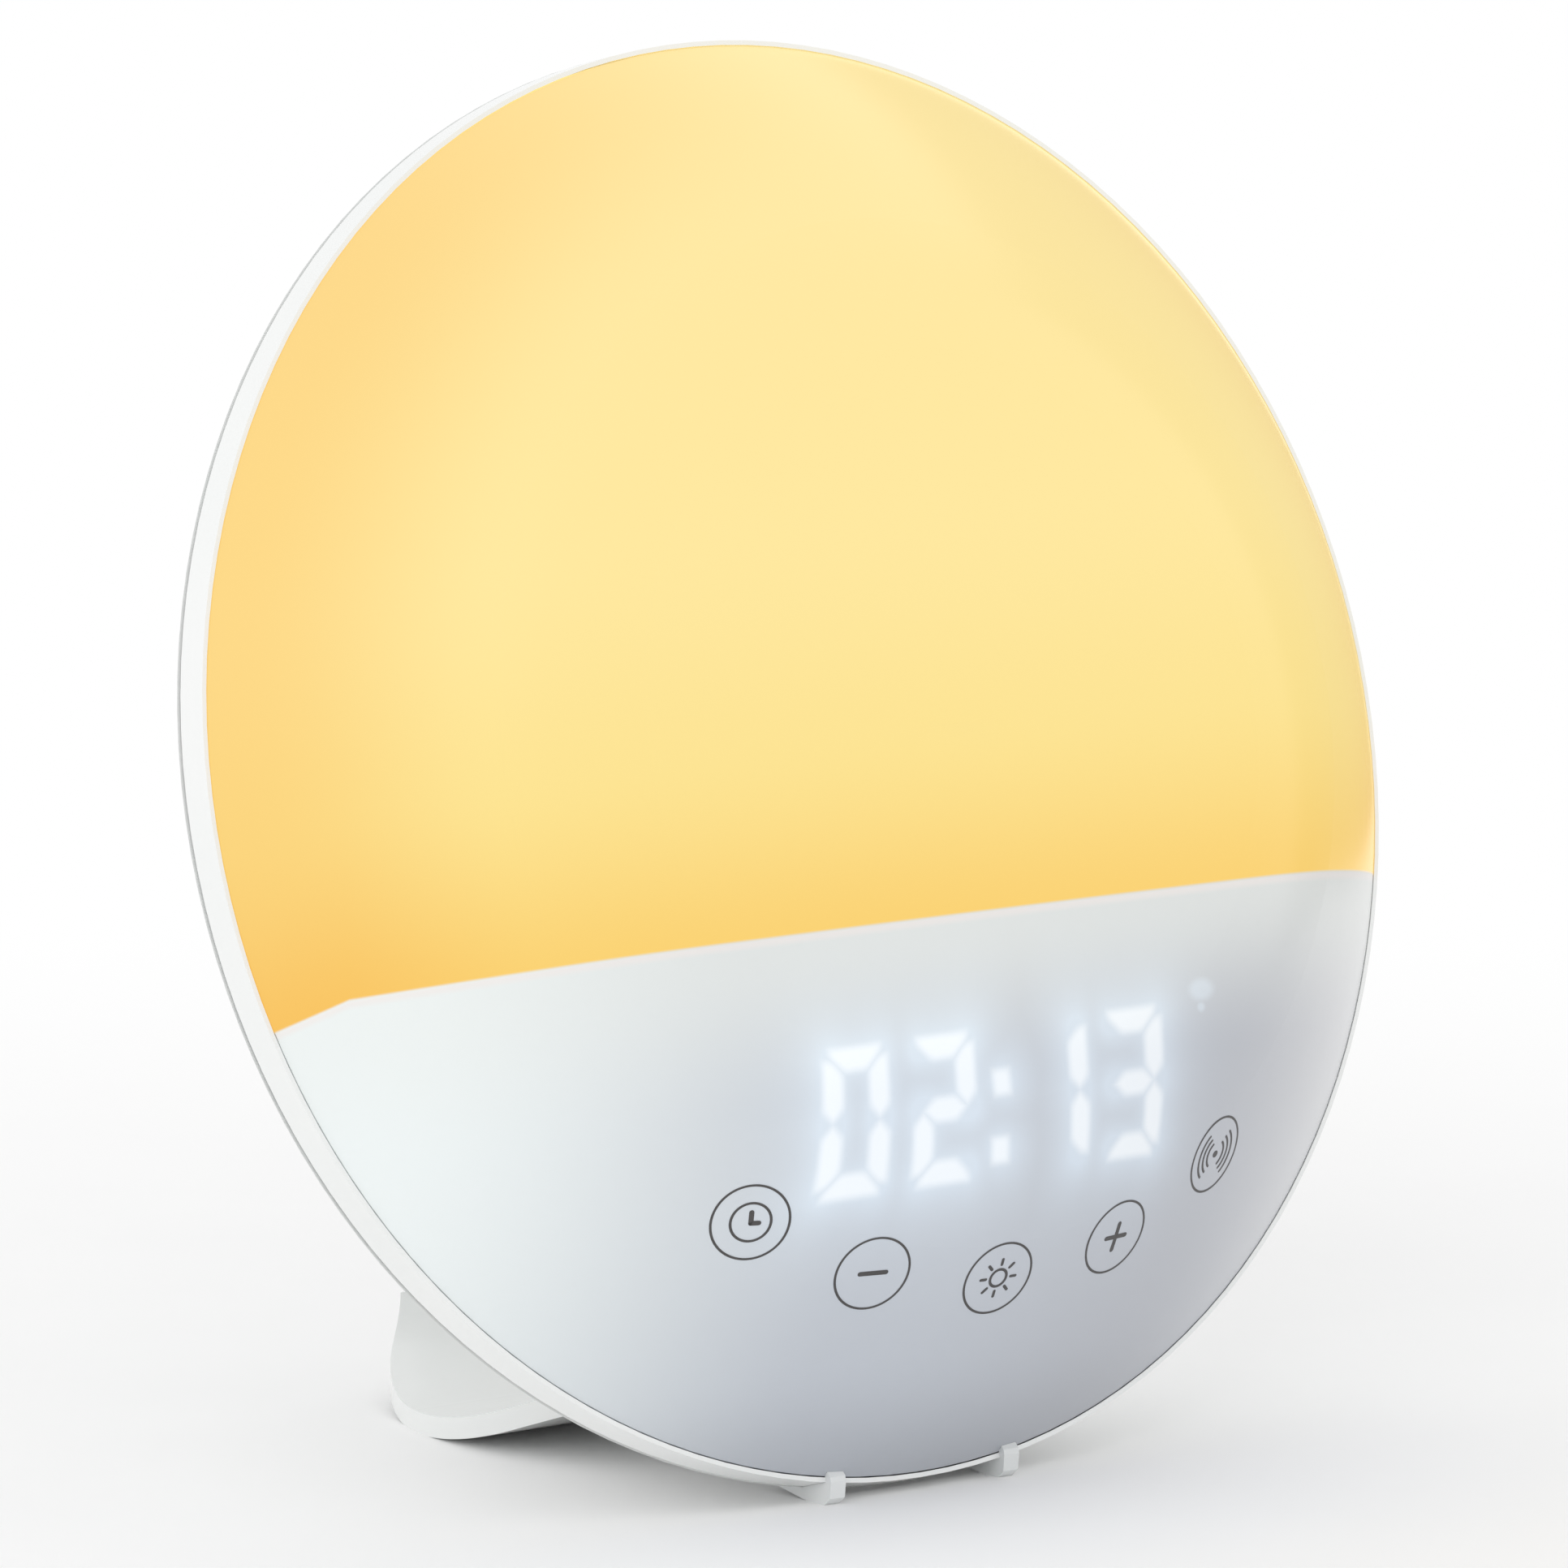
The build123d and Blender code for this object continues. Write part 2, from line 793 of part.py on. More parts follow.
def stand_screws():
    top = screw(2.8, 1.8, stand_screw_radius, back_inside, -stand_top_reach)
    low = screw(2.8, 1.8, stand_screw_radius, stand_low_seat, -stand_low_reach)
    return group(spread(top, stand_top_screws) + spread(low, stand_low_screws))


# ---- loop stand and front feet, in world coordinates from the body centre ----
def ribbon_side(inset):
    """One side of the ribbon's profile, front run to rear run, in (setback, height)."""
    def on_circle(centre, radius, angle):
        return (centre[0] + radius * cos(radians(angle)), centre[1] + radius * sin(radians(angle)))

    def arc(centre, radius, start, end):
        return ThreePointArc(
            on_circle(centre, radius, start),
            on_circle(centre, radius, (start + end) / 2),
            on_circle(centre, radius, end),
        )

    turn = radians(heel_turn)
    tip_centre = (
        contact_setback + (heel_arc - tip_arc) * sin(turn),
        heel_arc - (heel_arc - tip_arc) * cos(turn) - sole_flat,
    )
    front_centre = (contact_setback, front_arc - sole_flat)
    heel_centre = (contact_setback, heel_arc - sole_flat)
    front = arc(front_centre, front_arc - inset, -90 - front_slope, -90)
    heel = arc(heel_centre, heel_arc - inset, -90, -90 + heel_turn)
    tip = arc(tip_centre, tip_arc - inset, -90 + heel_turn, rear_slope - 90)
    start = front @ 0
    end = tip @ 1
    forward = radians(180 - front_slope)
    upward = radians(rear_slope)
    front_end = (start.X + front_run * cos(forward), start.Y + front_run * sin(forward))
    rear_end = (end.X + rear_run * cos(upward), end.Y + rear_run * sin(upward))
    return [Line(front_end, start), front, heel, tip, Line(end, rear_end)]


def side_plane():
    """Sketch plane with its first axis along world Y and its second along world Z."""
    return Plane(origin=(0, body_centre_setback, 0), x_dir=(0, 1, 0), z_dir=(1, 0, 0))


neck_outline = ((10.6, 12.2), (7.4, 17.5), (5.6, 27.0), (5.8, 48.0), (13.0, 80.0))
ribbon_half_width = 40.0
pad_middle = -5.0
pad_size = (25.0, 13.0)
pad_corner = 5.0
pad_height = 5.0


def loop_stand():
    outer = ribbon_side(0)
    inner = ribbon_side(ribbon_wall)
    ends = [
        Line(outer[0] @ 0, inner[0] @ 0),
        Line(outer[-1] @ 1, inner[-1] @ 1),
    ]
    ribbon = extrude(side_plane() * make_face(outer + inner + ends), ribbon_half_width, both=True)

    # the sole is round in plan, the rear wall narrows to a neck
    sole_top = neck_outline[0][1]
    sole_plan = Pos(0, body_centre_setback + sole_middle) * Ellipse(sole_half_width, sole_half_length)
    sole = ribbon & extrude(sole_plan, sole_top)
    right = Spline(*neck_outline)
    left = Spline(*[(-x, z) for x, z in neck_outline])
    rims = [Line(left @ 0, right @ 0), Line(left @ 1, right @ 1)]
    neck_face = Plane.XZ * make_face([right, left] + rims)
    behind = Pos(0, body_centre_setback + 60, 60) * Box(80, 90, 200)
    neck = ribbon & extrude(neck_face, 200, both=True) & behind

    # a pad closes the neck against the back, and the screws bite into pad and root
    pad = Pos(0, pad_middle) * RectangleRounded(*pad_size, pad_corner)
    pad = plate(pad, back_face - pad_height, back_face + 2)
    table = Pos(0, 0, -50) * Box(200, 200, 100)
    stand = sole + neck + stand_root() + face_frame * pad
    stand -= [table, face_frame * body_envelope()]
    top_hole = rod(stand_screw_radius, back_inside - stand_top_reach, back_face)
    low_hole = rod(stand_screw_radius, stand_low_seat - stand_low_reach, stand_low_seat)
    holes = spread(top_hole, stand_top_screws) + spread(low_hole, stand_low_screws)
    stand -= [face_frame * hole for hole in holes]
    return max(stand.solids(), key=lambda solid: solid.volume)


root_crest = (15.5, 26.0)
root_corners = ((4.0, 20.0), (1.0, 11.2), (16.4, 5.4), (22.0, 4.6))
root_waist = (18.0, 11.0)


def stand_root():
    """Moulded web that carries the sole's front end on the housing and takes its screws."""
    underside = Polyline(root_crest, *root_corners)
    hollow = ThreePointArc(root_corners[-1], root_waist, root_crest)
    web = make_face([underside, hollow])
    return extrude(side_plane() * web, root_half_width, both=True)


foot_outline = (
    (-26.9, 0.9), (-25.8, 0.0), (-22.4, 0.0), (-15.5, 1.1), (-15.5, 5.0),
    (-24.0, 6.0), (-26.5, 3.95), (-26.95, 3.5), (-27.1, 2.9),
)


def front_foot(side):
    outline = side_plane() * make_face(Polyline(*foot_outline, foot_outline[0]))
    block = extrude(outline, foot_width / 2, both=True)
    foot = Pos(side * foot_spread, 0, 0) * block - face_frame * body_envelope()
    return max(foot.solids(), key=lambda solid: solid.volume)


# ---- assembly ----
in_face_frame = {
    "front_diffuser": front_diffuser,
    "bezel_ring": bezel_ring,
    "rear_housing": rear_housing,
    "inner_chassis": inner_chassis,
    "lamp_reflector": lamp_reflector,
    "lamp_board": lamp_board,
    "lamp_leds": lamp_leds,
    "display_block": display_block,
    "display_segments": display_segments,
    "display_board": display_board,
    "touch_board": touch_board,
    "touch_pads": touch_pads,
    "main_board": main_board,
    "board_components": board_components,
    "wireless_module": wireless_module,
    "ribbon_cable": ribbon_cable,
    "speaker_frame": speaker_frame,
    "speaker_magnet": speaker_magnet,
    "speaker_cone": speaker_cone,
    "speaker_surround": speaker_surround,
    "button_board": button_board,
    "button_switches": button_switches,
    "dc_socket": dc_socket,
    "battery_holder": battery_holder,
    "battery_contact": battery_contact,
    "coin_cell": coin_cell,
    "battery_door": battery_door,
    "housing_screws": housing_screws,
    "chassis_screws": chassis_screws,
    "speaker_screws": speaker_screws,
    "stand_screws": stand_screws,
}
for name, make in in_face_frame.items():
    parts[name] = face_frame * make()
button_names = ("button_alarm_one", "button_alarm_two", "button_snooze")
for name, height in zip(button_names, button_heights):
    parts[name] = face_frame * push_button(height)
parts["loop_stand"] = loop_stand()
parts["front_foot_left"] = front_foot(-1)
parts["front_foot_right"] = front_foot(1)

os.makedirs("parts", exist_ok=True)
for name, shape in parts.items():
    export_step(shape, f"parts/{name}.step")
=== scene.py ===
import json
from math import asin, cos, hypot, radians, sin, sqrt

import bmesh
import bpy
from mathutils import Matrix, Vector


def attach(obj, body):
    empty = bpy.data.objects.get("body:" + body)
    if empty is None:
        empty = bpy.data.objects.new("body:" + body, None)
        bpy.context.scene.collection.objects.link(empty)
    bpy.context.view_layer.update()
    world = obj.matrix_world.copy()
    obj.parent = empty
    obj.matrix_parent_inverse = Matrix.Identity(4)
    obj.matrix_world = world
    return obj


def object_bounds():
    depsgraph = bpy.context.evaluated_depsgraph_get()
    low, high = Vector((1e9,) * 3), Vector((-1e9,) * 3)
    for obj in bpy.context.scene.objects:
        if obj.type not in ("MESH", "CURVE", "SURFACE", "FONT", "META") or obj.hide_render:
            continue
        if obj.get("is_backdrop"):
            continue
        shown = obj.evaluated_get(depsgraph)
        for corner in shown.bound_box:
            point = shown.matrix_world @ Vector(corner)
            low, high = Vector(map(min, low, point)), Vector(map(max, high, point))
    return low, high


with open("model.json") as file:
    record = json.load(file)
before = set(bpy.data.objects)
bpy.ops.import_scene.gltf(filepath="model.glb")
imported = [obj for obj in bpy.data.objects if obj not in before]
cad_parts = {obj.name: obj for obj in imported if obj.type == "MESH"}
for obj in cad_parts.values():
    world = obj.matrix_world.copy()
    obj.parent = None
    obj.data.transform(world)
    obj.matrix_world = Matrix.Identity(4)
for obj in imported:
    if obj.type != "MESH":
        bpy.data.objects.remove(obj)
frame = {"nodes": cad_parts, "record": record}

cad_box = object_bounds()

# Sunrise alarm clock: finishes, printed key signs and stage.
# The face frame has x to the right, v up the face and d out of it, in millimetres,
# with its zero in the middle of the widest circle.

MM = 0.001

# ---- the lamp body, in millimetres and degrees ----
BODY_LEAN = 15.0
BODY_CENTRE = (0.0, -7.26, 82.5)
LENS_RADIUS = 84.2
# the dome's section: centre (radius, depth), radius of curvature, and where the arc ends
CROWN = ((0.0, -468.936), 504.612, 43.98)
SHOULDER = ((41.191, 1.878), 32.0, 60.0)
FLANK = ((-13.012, -72.726), 124.215, LENS_RADIUS)
FACE = (
    Matrix.Translation(Vector(BODY_CENTRE) * MM)
    @ Matrix.Rotation(radians(90 - BODY_LEAN), 4, "X")
)

# ---- the warm glow and the line that ends it, in millimetres of the face frame ----
GLOW_EDGE = -21.75         # the glow ends at this height in the middle
GLOW_EDGE_TILT = -0.006    # and falls by this much for each millimetre to the right
GLOW_EDGE_BLUR = 0.22      # half the width over which it ends
GLOW_DROOP = 2.3           # near the left rim it bends down by this much
GLOW_DROOP_FROM = -75.0
GLOW_DROOP_TO = -80.8
SEAM_TOP = (0.0, -0.35)    # a paler seam under the line comes in between these heights
SEAM_FOOT = (-1.3, -0.5)   # and ends between these
SEAM_SHARE = 0.5

# ---- the digits and the small lit sign ----
DIGIT_MIDDLE = -43.65      # height of the digits' middle bars
DIGIT_STOREY = 7.1         # from there up and down to the outer bars
DIGIT_COLUMN = 3.15        # from a digit's middle to its posts
DIGIT_SLANT = 0.057        # lean to the right for each millimetre up
DIGIT_CENTRES = (-22.5, -10.2, 6.35, 17.85)
DIGIT_TEXT = "0213"
SEGMENT_HALF = 1.3         # half the width of a segment
SEGMENT_GAP = 0.3          # its slanted ends keep this far from the corner
SEGMENT_ROUNDING = 0.8
BAR_TIP = 0.35             # a bar's outer tips end this far past the corner
POST_TIP = 0.0             # and a post's this far
COLON_DOTS = ((-1.8, -41.5), (-2.7, -49.2))
COLON_HALF = (1.15, 1.4)
CORE_EDGE = (0.75, -0.65)  # a segment's light comes in between these distances from its edge
HALO_FADE = 0.77           # share of the halo that is left after each millimetre
HALO_BLEND = 2.0           # reach over which the halos of neighbours flow together
FAR_AWAY = 99.0            # further than any segment is from any point of the face
# centre, half sizes, and where the edge begins and ends as a share of them
WIRELESS_FAN = ((29.5, -34.1), (1.95, 1.3), (0.5, 1.35))
WIRELESS_DOT = ((29.2, -36.1), (0.55, 0.5), (0.4, 1.6))
WIRELESS_SHARE = 0.5

# ---- the printed keys ----
KEY_ARC_RADIUS = 60.7
KEY_ARC_CENTRE = -2.9
KEY_STEP = 17.1            # degrees from key to key
KEY_RING_RADIUS = 4.75
INK_LINE = 0.28
INK_SIGN = INK_LINE * 1.1
INK_SUN = INK_LINE * 1.25
INK_RAY = INK_LINE * 1.35
INK_BOLD = 0.6
INK_DOT = 0.86
INK_TOP = 0.03             # the ink stands this far off the dome
INK_ROOT = -0.12           # and is rooted this far inside it
ROUND_END = (80, 55, 30)   # degrees at which a stroke's end is rounded, from the tip inwards

# ---- camera: from the front left, a little above the clock, in millimetres ----
CAMERA_PLACE = (-1056.0, -1384.46, 367.0)
CAMERA_TARGET = (0.02, -7.26, 80.01)
CAMERA_LENS = 345.2
CAMERA_SENSOR = 36.0

# ---- stage, in metres and watts ----
FILL_LIGHT = 0.8           # strength of the world's light where it isn't seen directly
FLOOR_HALF = 6.0
FLOOR_NEAR = 0.12          # distance from the clock where the floor starts to fade to white
FLOOR_FAR = 0.38
CARD_PLACE = 0.4           # the dark card stands this far to the right
CARD_DEPTH = (-0.15, 0.46)  # and reaches from beside the clock to behind it
CARD_TOP = 0.42
# name, place, point it faces, width and height, power
SOFTBOXES = (
    ("key_softbox", (-1.6, -1.4, 1.9), (0, 0, 0.08), (2.0, 2.0), 11.0),
    ("side_softbox", (1.5, -1.2, 0.9), (0, 0, 0.08), (1.2, 1.4), 2.0),
    ("low_softbox", (-1.5, -0.1, 0.35), (0, 0, 0.06), (0.6, 1.2), 0.9),
    ("edge_softbox", (1.4, 0.5, 0.5), (0, 0, 0.08), (0.8, 1.2), 1.6),
    ("rear_softbox", (-1.1, 0.9, 0.35), (0, 0, 0.06), (0.8, 1.0), 1.1),
    ("top_softbox", (0.2, 0.6, 2.0), (0, 0, 0.08), (1.6, 1.6), 2.0),
)


def lens_arc(radius):
    """Arc of the dome's section that covers a distance from the face's axis."""
    return next(arc for arc in (CROWN, SHOULDER, FLANK) if radius <= arc[2] or arc is FLANK)


def lens_height(radius):
    """Depth of the dome's outer surface at a distance from the face's axis."""
    (across, depth), bend, _ = lens_arc(radius)
    return depth + sqrt(bend ** 2 - (radius - across) ** 2)


def lens_slope(radius):
    """Angle by which the dome falls away at a distance from the face's axis."""
    (across, _), bend, _ = lens_arc(radius)
    return asin((radius - across) / bend)


def on_lens(x, v, lift=0.0):
    """World point on the dome above the face point (x, v)."""
    return FACE @ (Vector((x, v, lens_height(hypot(x, v)) + lift)) * MM)


# ---- shader helpers ----
class Graph:
    """Short calls that add and join shader nodes."""

    def __init__(self, tree):
        self.tree = tree

    def node(self, kind, **settings):
        made = self.tree.nodes.new(kind)
        for name, value in settings.items():
            setattr(made, name, value)
        return made

    def feed(self, socket, value):
        if isinstance(value, bpy.types.NodeSocket):
            self.tree.links.new(value, socket)
        else:
            socket.default_value = value

    def math(self, operation, *values):
        made = self.node("ShaderNodeMath", operation=operation)
        for socket, value in zip(made.inputs, values):
            self.feed(socket, value)
        return made.outputs[0]

    def vector(self, operation, *values):
        made = self.node("ShaderNodeVectorMath", operation=operation)
        for socket, value in zip(made.inputs, values):
            self.feed(socket, value)
        return made.outputs["Value" if operation == "LENGTH" else "Vector"]

    def split(self, vector):
        made = self.node("ShaderNodeSeparateXYZ")
        self.feed(made.inputs[0], vector)
        return made.outputs

    def join(self, x, y, z=0.0):
        made = self.node("ShaderNodeCombineXYZ")
        for socket, value in zip(made.inputs, (x, y, z)):
            self.feed(socket, value)
        return made.outputs[0]

    def ramp(self, value, low, high, out_low=0.0, out_high=1.0, curve="SMOOTHSTEP"):
        """Step of value from low to high, smooth unless another curve is named."""
        made = self.node("ShaderNodeMapRange", interpolation_type=curve, clamp=True)
        for socket, item in zip(made.inputs, (value, low, high, out_low, out_high)):
            self.feed(socket, item)
        return made.outputs[0]

    def mix(self, factor, first, second, blend="MIX"):
        made = self.node("ShaderNodeMix", data_type="RGBA", blend_type=blend)
        self.feed(made.inputs[0], factor)
        self.feed(made.inputs[6], first)
        self.feed(made.inputs[7], second)
        return made.outputs[2]

    def noise(self, place, scale, detail):
        made = self.node("ShaderNodeTexNoise")
        for name, value in (("Vector", place), ("Scale", scale), ("Detail", detail)):
            self.feed(made.inputs[name], value)
        return made.outputs["Fac"]

    def place(self):
        """Object-space position in metres."""
        return self.node("ShaderNodeTexCoord").outputs["Object"]

    def face_place(self):
        """Position in the face frame, millimetres."""
        mapping = self.node("ShaderNodeMapping", vector_type="POINT")
        inverse = FACE.inverted()
        mapping.inputs["Location"].default_value = inverse.translation / MM
        mapping.inputs["Rotation"].default_value = inverse.to_euler()
        mapping.inputs["Scale"].default_value = (1 / MM, 1 / MM, 1 / MM)
        self.feed(mapping.inputs["Vector"], self.place())
        return mapping.outputs[0]

    def use(self, group, **values):
        """Place a node group; an underscore stands for a space in its inputs' names."""
        made = self.node("ShaderNodeGroup", node_tree=group)
        for name, value in values.items():
            self.feed(made.inputs[name.replace("_", " ")], value)
        return made.outputs


def srgb(red, green, blue):
    """Linear colour of an 8-bit display colour."""
    def linear(level):
        level = level / 255
        return level / 12.92 if level <= 0.04045 else ((level + 0.055) / 1.055) ** 2.4
    return (linear(red), linear(green), linear(blue), 1.0)


def new_group(name, inputs, outputs):
    """Empty node group: its graph, what it is given and what it puts out."""
    tree = bpy.data.node_groups.new(name, "ShaderNodeTree")
    for label, kind, value in inputs:
        socket = tree.interface.new_socket(name=label, in_out="INPUT", socket_type=kind)
        socket.default_value = value
    for label, kind in outputs:
        tree.interface.new_socket(name=label, in_out="OUTPUT", socket_type=kind)
    graph = Graph(tree)
    entry = graph.node("NodeGroupInput")
    leave = graph.node("NodeGroupOutput")
    return graph, entry.outputs, leave.inputs


# ---- skins that more than one finish uses; depths in metres ----
WAVE_HEIGHT = 3.0          # height of the slow waves against the pores
HAZE_EDGE = (0.45, 0.72)   # noise levels between which a patch of haze comes in
HAZE_ROUGHENS = 0.25
PLASTIC_IOR = 1.5
COLOUR_DRIFT = (0.3, 0.7)  # noise levels between which the colour turns to its shade
PORE_DEPTH = 0.0002
MARK_DEPTH = 0.0001
MARK_SCALE = 400.0
MARK_STRETCH = (1.0, 1.0, 30.0)
MARK_ROUGHENS = 0.15
INK_DEPTH = 0.00005


def moulded_skin_group():
    """Fine pores and slow waviness of a moulded surface, as a height and a roughness shift."""
    graph, given, out = new_group(
        "moulded_skin",
        (("Grain", "NodeSocketFloat", 1500.0), ("Wave", "NodeSocketFloat", 30.0)),
        (("Height", "NodeSocketFloat"), ("Unevenness", "NodeSocketFloat")),
    )
    place = graph.place()
    grain = graph.noise(place, given["Grain"], 3.0)
    wave = graph.noise(place, given["Wave"], 2.0)
    graph.feed(out["Height"], graph.math("MULTIPLY_ADD", wave, WAVE_HEIGHT, grain))
    graph.feed(out["Unevenness"], wave)
    return graph.tree


def handling_group():
    """Faint dust and finger haze gathered in broad patches."""
    graph, given, out = new_group(
        "handling_haze",
        (("Patch", "NodeSocketFloat", 24.0), ("Amount", "NodeSocketFloat", 0.3)),
        (("Haze", "NodeSocketFloat"),),
    )
    patch = graph.noise(graph.place(), given["Patch"], 4.0)
    broad = graph.ramp(patch, *HAZE_EDGE)
    graph.feed(out["Haze"], graph.math("MULTIPLY", broad, given["Amount"]))
    return graph.tree


MOULDED_SKIN = moulded_skin_group()
HANDLING_HAZE = handling_group()


def new_material(name):
    """Material with a Principled shader, its graph and that shader."""
    made = bpy.data.materials.new(name)
    made.use_nodes = True
    made.node_tree.nodes.clear()
    graph = Graph(made.node_tree)
    shader = graph.node("ShaderNodeBsdfPrincipled")
    output = graph.node("ShaderNodeOutputMaterial")
    graph.feed(output.inputs["Surface"], shader.outputs[0])
    return made, graph, shader


def bumped(graph, shader, height, strength, distance):
    """Let a height tilt the shader's normals."""
    bump = graph.node("ShaderNodeBump")
    bump.inputs["Strength"].default_value = strength
    bump.inputs["Distance"].default_value = distance
    graph.feed(bump.inputs["Height"], height)
    graph.feed(shader.inputs["Normal"], bump.outputs[0])


def plastic(name, colour, shade, roughness, grain=1500.0, bump=0.05, haze=0.25):
    """Moulded plastic: slow colour drift, pores and a little finger haze."""
    made, graph, shader = new_material(name)
    skin = graph.use(MOULDED_SKIN, Grain=grain)
    hazy = graph.use(HANDLING_HAZE, Amount=haze)
    drift = graph.ramp(skin["Unevenness"], *COLOUR_DRIFT)
    graph.feed(shader.inputs["Base Color"], graph.mix(drift, colour, shade))
    rough = graph.math("MULTIPLY_ADD", hazy["Haze"], HAZE_ROUGHENS, roughness)
    graph.feed(shader.inputs["Roughness"], rough)
    shader.inputs["IOR"].default_value = PLASTIC_IOR
    bumped(graph, shader, skin["Height"], bump, PORE_DEPTH)
    return made


def metal(name, colour, shade, roughness):
    """Drawn or plated metal with fine marks along one direction."""
    made, graph, shader = new_material(name)
    mapping = graph.node("ShaderNodeMapping")
    mapping.inputs["Scale"].default_value = MARK_STRETCH
    graph.feed(mapping.inputs["Vector"], graph.place())
    marks = graph.noise(mapping.outputs[0], MARK_SCALE, 4.0)
    hazy = graph.use(HANDLING_HAZE, Patch=60.0, Amount=0.4)
    graph.feed(shader.inputs["Base Color"], graph.mix(marks, colour, shade))
    shader.inputs["Metallic"].default_value = 1.0
    rough = graph.math("MULTIPLY_ADD", marks, MARK_ROUGHENS, roughness)
    graph.feed(shader.inputs["Roughness"], graph.math("ADD", rough, hazy["Haze"]))
    bumped(graph, shader, marks, 0.1, MARK_DEPTH)
    return made


# ---- light and colour of the lit face ----
LIT_SEGMENTS = {"0": "abcdef", "1": "bc", "2": "abged", "3": "abgcd"}
GLOW_LOW = srgb(250, 208, 108)
GLOW_NEAR = srgb(252, 226, 142)
GLOW_MIDDLE = srgb(254, 231, 156)
GLOW_TOP = srgb(254, 231, 160)
# height above the line from which a colour comes in, where it is full, and the colour
GLOW_BANDS = ((-4.0, 22.0, GLOW_NEAR), (14.0, 48.0, GLOW_MIDDLE), (40.0, 100.0, GLOW_TOP))
# painted shade: the warm field is deepened on the dome's steep sides near its left and right rims
GLOW_PAINTED_SHADE = (0.98, 0.85, 0.68, 1.0)
GLOW_SHADE_RADII = (60.0, 83.0)    # the painted shade near the rim comes in between these radii
GLOW_SHADE_LEFT = (22.0, -58.0)
GLOW_SHADE_RIGHT = (30.0, 76.0, 0.0, 0.4)
# painted light and shade across the panel: painted light at its left, painted shade greying its
# middle
PANEL_PAINTED_LIGHT = srgb(243, 249, 249)
PANEL_PAINTED_SHADE = srgb(200, 205, 213)
# darker over the display: partly the display behind the diffuser, partly painted shade
PANEL_DISPLAY_SHADE = srgb(189, 192, 199)
# painted sheen brightening the panel near its right edge
PANEL_PAINTED_SHEEN = srgb(213, 214, 217)
# place across the face from which a colour comes in, where it is full, and the colour
PANEL_PAINTED_BANDS = ((-74.0, -18.0, PANEL_PAINTED_SHADE), (-14.0, 34.0, PANEL_DISPLAY_SHADE), (30.0, 76.0, PANEL_PAINTED_SHEEN))
# painted light: the lamp's light spilling into the panel just under the line
PANEL_PAINTED_SPILL = srgb(236, 239, 235)
PANEL_SPILL_UP = (-42.0, -22.0)
PANEL_SPILL_ACROSS = (-80.0, -20.0, 0.3, 0.75)
# painted shade: the panel darkens towards the bottom of the dome
PANEL_PAINTED_DARK = srgb(148, 148, 150)
PANEL_SHADE_DOWN = (-70.0, -86.0, 0.0, 0.3)
SEAM_TINT = srgb(246, 236, 232)
HALO_LIGHT = (0.15, 0.20, 0.24, 1.0)
CORE_LIGHT = (0.20, 0.17, 0.13, 1.0)
LAMP_SHARE = 0.68          # share of the yellow that the lamp emits; the rest is painted lamp glow in the base colour, lit by the studio lamps
OPAL_ROUGHNESS = 0.22
OPAL_SPECULAR = 0.3
OPAL_BUMP = 0.02


def segment_places():
    """Outer tip, kind and place of each lit segment, before the slant."""
    places = {
        "a": (0, 1, "bar"), "g": (0, 0, "bridge"), "d": (0, -1, "bar"),
        "b": (1, 0.5, "post"), "c": (1, -0.5, "post"),
        "f": (-1, 0.5, "post"), "e": (-1, -0.5, "post"),
    }
    for centre, numeral in zip(DIGIT_CENTRES, DIGIT_TEXT):
        for letter in LIT_SEGMENTS[numeral]:
            side, level, kind = places[letter]
            yield centre + side * DIGIT_COLUMN, level * DIGIT_STOREY, side, level, kind


def segment_distance(graph, across, height, segment):
    """Distance from a segment's edge, negative inside; outer corners are mitred."""
    x, y, side, level, kind = segment
    aside = graph.math("SUBTRACT", across, x)
    above = graph.math("SUBTRACT", height, y)
    along, off = (above, aside) if kind == "post" else (aside, above)
    half = DIGIT_STOREY / 2 if kind == "post" else DIGIT_COLUMN
    from_middle = graph.math("ABSOLUTE", along)
    flat = graph.math("ABSOLUTE", off)
    reach = (half - SEGMENT_GAP) * sqrt(0.5)

    def slanted(measure):
        """Distance from an end cut at 45 degrees."""
        return graph.math("MULTIPLY_ADD", measure, sqrt(0.5), -reach)

    def rounded(first, second):
        return graph.math("SMOOTH_MAX", first, second, SEGMENT_ROUNDING)

    body = graph.math("SUBTRACT", flat, SEGMENT_HALF)
    if kind == "bridge":
        return rounded(body, slanted(graph.math("ADD", from_middle, flat)))
    outward = graph.math("MULTIPLY", off, float(side if kind == "post" else level))
    tip = BAR_TIP if kind == "bar" else POST_TIP
    body = rounded(body, graph.math("SUBTRACT", from_middle, half + tip))
    if kind == "bar":
        return rounded(body, slanted(graph.math("SUBTRACT", from_middle, outward)))
    corner = graph.math("MULTIPLY", along, 1.0 if level > 0 else -1.0)
    mitre = slanted(graph.math("SUBTRACT", corner, outward))
    middle = slanted(graph.math("SUBTRACT", flat, corner))
    return rounded(body, graph.math("MAXIMUM", mitre, middle))


def dot_distance(graph, x, v, place):
    """Distance from the edge of a colon's dot, negative inside."""
    sides = []
    for value, middle, half in zip((x, v), place, COLON_HALF):
        offset = graph.math("ABSOLUTE", graph.math("SUBTRACT", value, middle))
        sides.append(graph.math("SUBTRACT", offset, half))
    return graph.math("SMOOTH_MAX", *sides, SEGMENT_ROUNDING)


def soft_spot(graph, x, v, place, radii, edge):
    """Oval patch of light, full inside the edge's first share of its radii, gone at the second."""
    offsets = [
        graph.math("MULTIPLY", graph.math("SUBTRACT", value, middle), 1 / radius)
        for value, middle, radius in zip((x, v), place, radii)
    ]
    inner, outer = edge
    return graph.ramp(graph.vector("LENGTH", graph.join(*offsets)), outer, inner)


